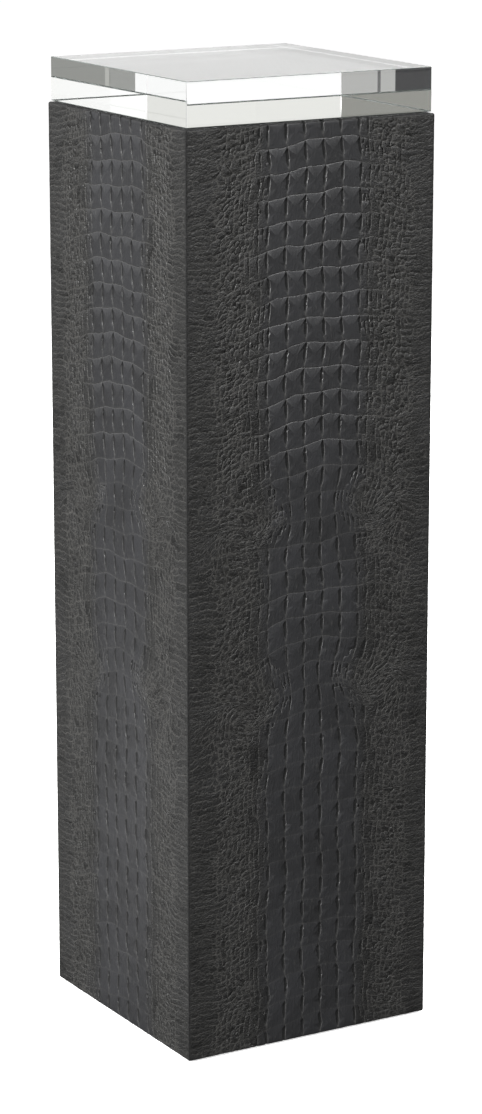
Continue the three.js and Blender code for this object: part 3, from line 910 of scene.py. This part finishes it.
block_low, block_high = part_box("clear_block")
bm = bmesh.new()
bmesh.ops.create_cube(bm, size=1)
bmesh.ops.scale(bm, vec=block_high - block_low, verts=bm.verts)
bmesh.ops.translate(bm, vec=(block_high + block_low) / 2, verts=bm.verts)
bmesh.ops.bevel(bm, geom=bm.edges, offset=BLOCK_EASE, affect="EDGES", segments=3, profile=0.5, material=-1)
for face in bm.faces:
    is_eased = face.calc_area() < LARGEST_EASED and abs(face.normal.z) > 0.1
    face.material_index = 1 if is_eased else 0
acrylic = Finish("polished_acrylic", base_color=(0.985, 0.993, 0.986), ior=1.49, transmission_weight=1.0)
place = acrylic.node("TexCoord", output="Object")
wipes = acrylic.noise(place, 1, 4, (9, 60, 9))
acrylic.set(roughness=acrylic.node("MapRange", {}, {"Value": wipes, "From Min": 0.6, "From Max": 1.0,
                                                   "To Min": 0.0, "To Max": 0.06}))
# The eased edges are matt as milled; their dark grey is painted shade standing in for the dark lines along
# the bevels.
dark_painted_edge = Finish("eased_edge_painted_dark", ior=1.49)
place = dark_painted_edge.node("TexCoord", output="Object")
milled = dark_painted_edge.noise(place, 700, 3)
dark_painted_edge.set(base_color=dark_painted_edge.mix(milled, (0.075, 0.085, 0.08), (0.15, 0.17, 0.16)),
          roughness=0.3 + milled * 0.3)
block = piece("polished_block", bm, acrylic.material, "block", "acrylic", "clear_block")
block.data.materials.append(dark_painted_edge.material)

# ---------------------------------------------------------------------------------------------------
# The floor. A pale studio floor, far larger than the view, brighter away from the middle. Its own
# brightness is only for the eye and for what is seen through the block: it doesn't light the hide.
# ---------------------------------------------------------------------------------------------------

FLOOR_HALF = 30
FLOOR_NEAR, FLOOR_FAR = (0.72, 0.72, 0.72), (1.01, 1.01, 1.01)

bm = bmesh.new()
bmesh.ops.create_grid(bm, x_segments=1, y_segments=1, size=FLOOR_HALF)
floor_mesh = bpy.data.meshes.new("floor")
bm.to_mesh(floor_mesh)
bm.free()
floor = bpy.data.objects.new("floor", floor_mesh)
bpy.context.scene.collection.objects.link(floor)
floor_finish = Finish("pale_floor", base_color=(0.8, 0.8, 0.8), roughness=0.8, specular_ior_level=0.0,
                      emission_strength=1.0)
place = floor_finish.node("TexCoord", output="Object")
from_middle = floor_finish.node("VectorMath", {"operation": "LENGTH"}, {0: place}, output=1)
far = floor_finish.node("MapRange", {}, {"Value": from_middle, "From Min": 0.5, "From Max": 3.0})
floor_finish.set(emission_color=floor_finish.mix(far, FLOOR_NEAR, FLOOR_FAR))
floor_mesh.materials.append(floor_finish.material)
floor.visible_diffuse = floor.visible_glossy = False

# ---------------------------------------------------------------------------------------------------
# The studio. A white surround, dark only below the floor's far edge, shows in gloss and through the
# block and doesn't light anything matt. Four softboxes do that.
# ---------------------------------------------------------------------------------------------------

SURROUND = {"From Min": -0.09, "From Max": -0.055, "To Min": 0.1, "To Max": 1.0}

world = bpy.data.worlds.new("studio")
bpy.context.scene.world = world
world.use_nodes = True
sky = world.node_tree
height = sky.nodes.new("ShaderNodeSeparateXYZ")
fade = sky.nodes.new("ShaderNodeMapRange")
for name, value in SURROUND.items():
    fade.inputs[name].default_value = value
sky.links.new(sky.nodes.new("ShaderNodeTexCoord").outputs["Generated"], height.inputs[0])
sky.links.new(height.outputs["Z"], fade.inputs["Value"])
sky.links.new(fade.outputs[0], sky.nodes["Background"].inputs["Strength"])
sky.nodes["Background"].inputs["Color"].default_value = (1, 1, 1, 1)
world.cycles_visibility.diffuse = False

for name, place, aim, size, power in (
        ("key", (-4.65, -1.7, 2.95), (0, 0, 0.5), 1.3, 660),
        ("top_front", (1.5, -2.7, 3.0), (0, 0, 0.4), 1.2, 68),
        ("behind_right", (2.6, 2.0, 2.6), (0, 0, 0.5), 1.8, 220),
        ("low_left", (-0.8, 0.5, 0.06), (-0.15, 0, 0.15), 0.4, 1.1)):
    light = bpy.data.lights.new(name, "AREA")
    light.shape, light.size, light.energy = "SQUARE", size, power
    softbox = bpy.data.objects.new(name, light)
    softbox.location = place
    softbox.rotation_euler = (Vector(aim) - Vector(place)).to_track_quat("-Z", "Y").to_euler()
    softbox.visible_transmission = softbox.visible_camera = False
    bpy.context.scene.collection.objects.link(softbox)

# ---------------------------------------------------------------------------------------------------
# The cards. Grey cards stand round the object, three metres off, and only a look through the block can
# meet them: the low ones straight through it, the high ones after a turn upwards at its underside.
# ---------------------------------------------------------------------------------------------------

CARD_FAR = 3.0
FLAG_FAR, BAR_FAR = 2.95, 3.02  # in front of and behind the other cards
LOW_CARD, HIGH_CARD, FLAG = (0.02, 1.04), (1.04, 1.9), (0.02, 1.0)  # bottom and top of each
FRONT_RIGHT, REAR_LEFT, REAR_RIGHT = math.radians(149.5), math.radians(-30.5), math.radians(30.5)


def card(name, azimuth, sides, heights, grey, distance=CARD_FAR):
    """One upright card that faces the object; sides and heights are its edges, in metres."""
    (left, right), (low, high) = sides, heights
    outwards = Vector((math.sin(azimuth), math.cos(azimuth), 0))
    across = Vector((outwards.y, -outwards.x, 0)) * math.copysign(1, outwards.y)
    bm = bmesh.new()
    bmesh.ops.create_grid(bm, x_segments=1, y_segments=1, size=0.5)
    stood_up = Matrix((
        (*(across * (right - left)), 0), (0, 0, high - low, 0), (*outwards, 0), (0, 0, 0, 1))).transposed()
    bmesh.ops.transform(bm, verts=bm.verts, matrix=stood_up)
    middle = outwards * distance + across * (left + right) / 2 + Vector((0, 0, (low + high) / 2))
    bmesh.ops.translate(bm, verts=bm.verts, vec=middle)
    mesh = bpy.data.meshes.new(name)
    bm.to_mesh(mesh)
    bm.free()
    finish = Finish(name, base_color=(0, 0, 0), roughness=1.0, specular_ior_level=0.0,
                    emission_color=grey, emission_strength=1.0)
    mesh.materials.append(finish.material)
    made = bpy.data.objects.new(name, mesh)
    bpy.context.scene.collection.objects.link(made)
    made.visible_camera = made.visible_shadow = made.visible_diffuse = made.visible_glossy = False


card("front_right_card", FRONT_RIGHT, (-1.2, 0.042), LOW_CARD, (0.33, 0.335, 0.32))
card("front_right_strip", FRONT_RIGHT, (0.05, 0.1), LOW_CARD, (0.31, 0.315, 0.3))
card("front_right_bar", FRONT_RIGHT, (0.036, 0.056), LOW_CARD, (0.52, 0.525, 0.5), BAR_FAR)
card("rear_left_card", REAR_LEFT, (-1.2, 0.6), LOW_CARD, (0.46, 0.46, 0.45))
card("rear_left_high_card", REAR_LEFT, (-1.2, 0.6), HIGH_CARD, (0.285, 0.285, 0.262))
card("front_right_high_card", FRONT_RIGHT, (-1.2, 0.6), HIGH_CARD, (1.15, 1.15, 1.14))
card("rear_right_high_card", REAR_RIGHT, (-0.9, 0.9), HIGH_CARD, (0.84, 0.84, 0.81))
card("rear_left_flag", REAR_LEFT, (-0.8, 0.022), FLAG, (0.042, 0.042, 0.044), FLAG_FAR)
card("rear_left_pole", REAR_LEFT, (0.050, 0.056), FLAG, (0.15, 0.15, 0.15), FLAG_FAR)

# ---------------------------------------------------------------------------------------------------
# The camera. It stands almost 4 m off, looking down a little at the corner between the front and the left
# face, through a long lens.
# ---------------------------------------------------------------------------------------------------

YAW, PITCH = math.radians(30.462), math.radians(13.74)
LENS, SENSOR = 114.44, 36
WIDTH = 2 * FACE
CAMERA_FAR = 12.925 * WIDTH
AIM_HEIGHT, AIM_RIGHT = 1.6913 * WIDTH + 0.002, 0.0078 * WIDTH

view_line = Vector((math.sin(YAW) * math.cos(PITCH), math.cos(YAW) * math.cos(PITCH), -math.sin(PITCH)))
camera_right = Vector((math.cos(YAW), -math.sin(YAW), 0))
camera = bpy.data.objects.new("camera", bpy.data.cameras.new("camera"))
camera.data.sensor_width = SENSOR
camera.data.lens = LENS
camera.data.clip_end = 100
camera.location = Vector((0, 0, AIM_HEIGHT)) + camera_right * AIM_RIGHT - view_line * CAMERA_FAR
camera.rotation_euler = view_line.to_track_quat("-Z", "Y").to_euler()
bpy.context.scene.collection.objects.link(camera)
bpy.context.scene.camera = camera
bpy.context.scene.view_settings.view_transform = "Standard"
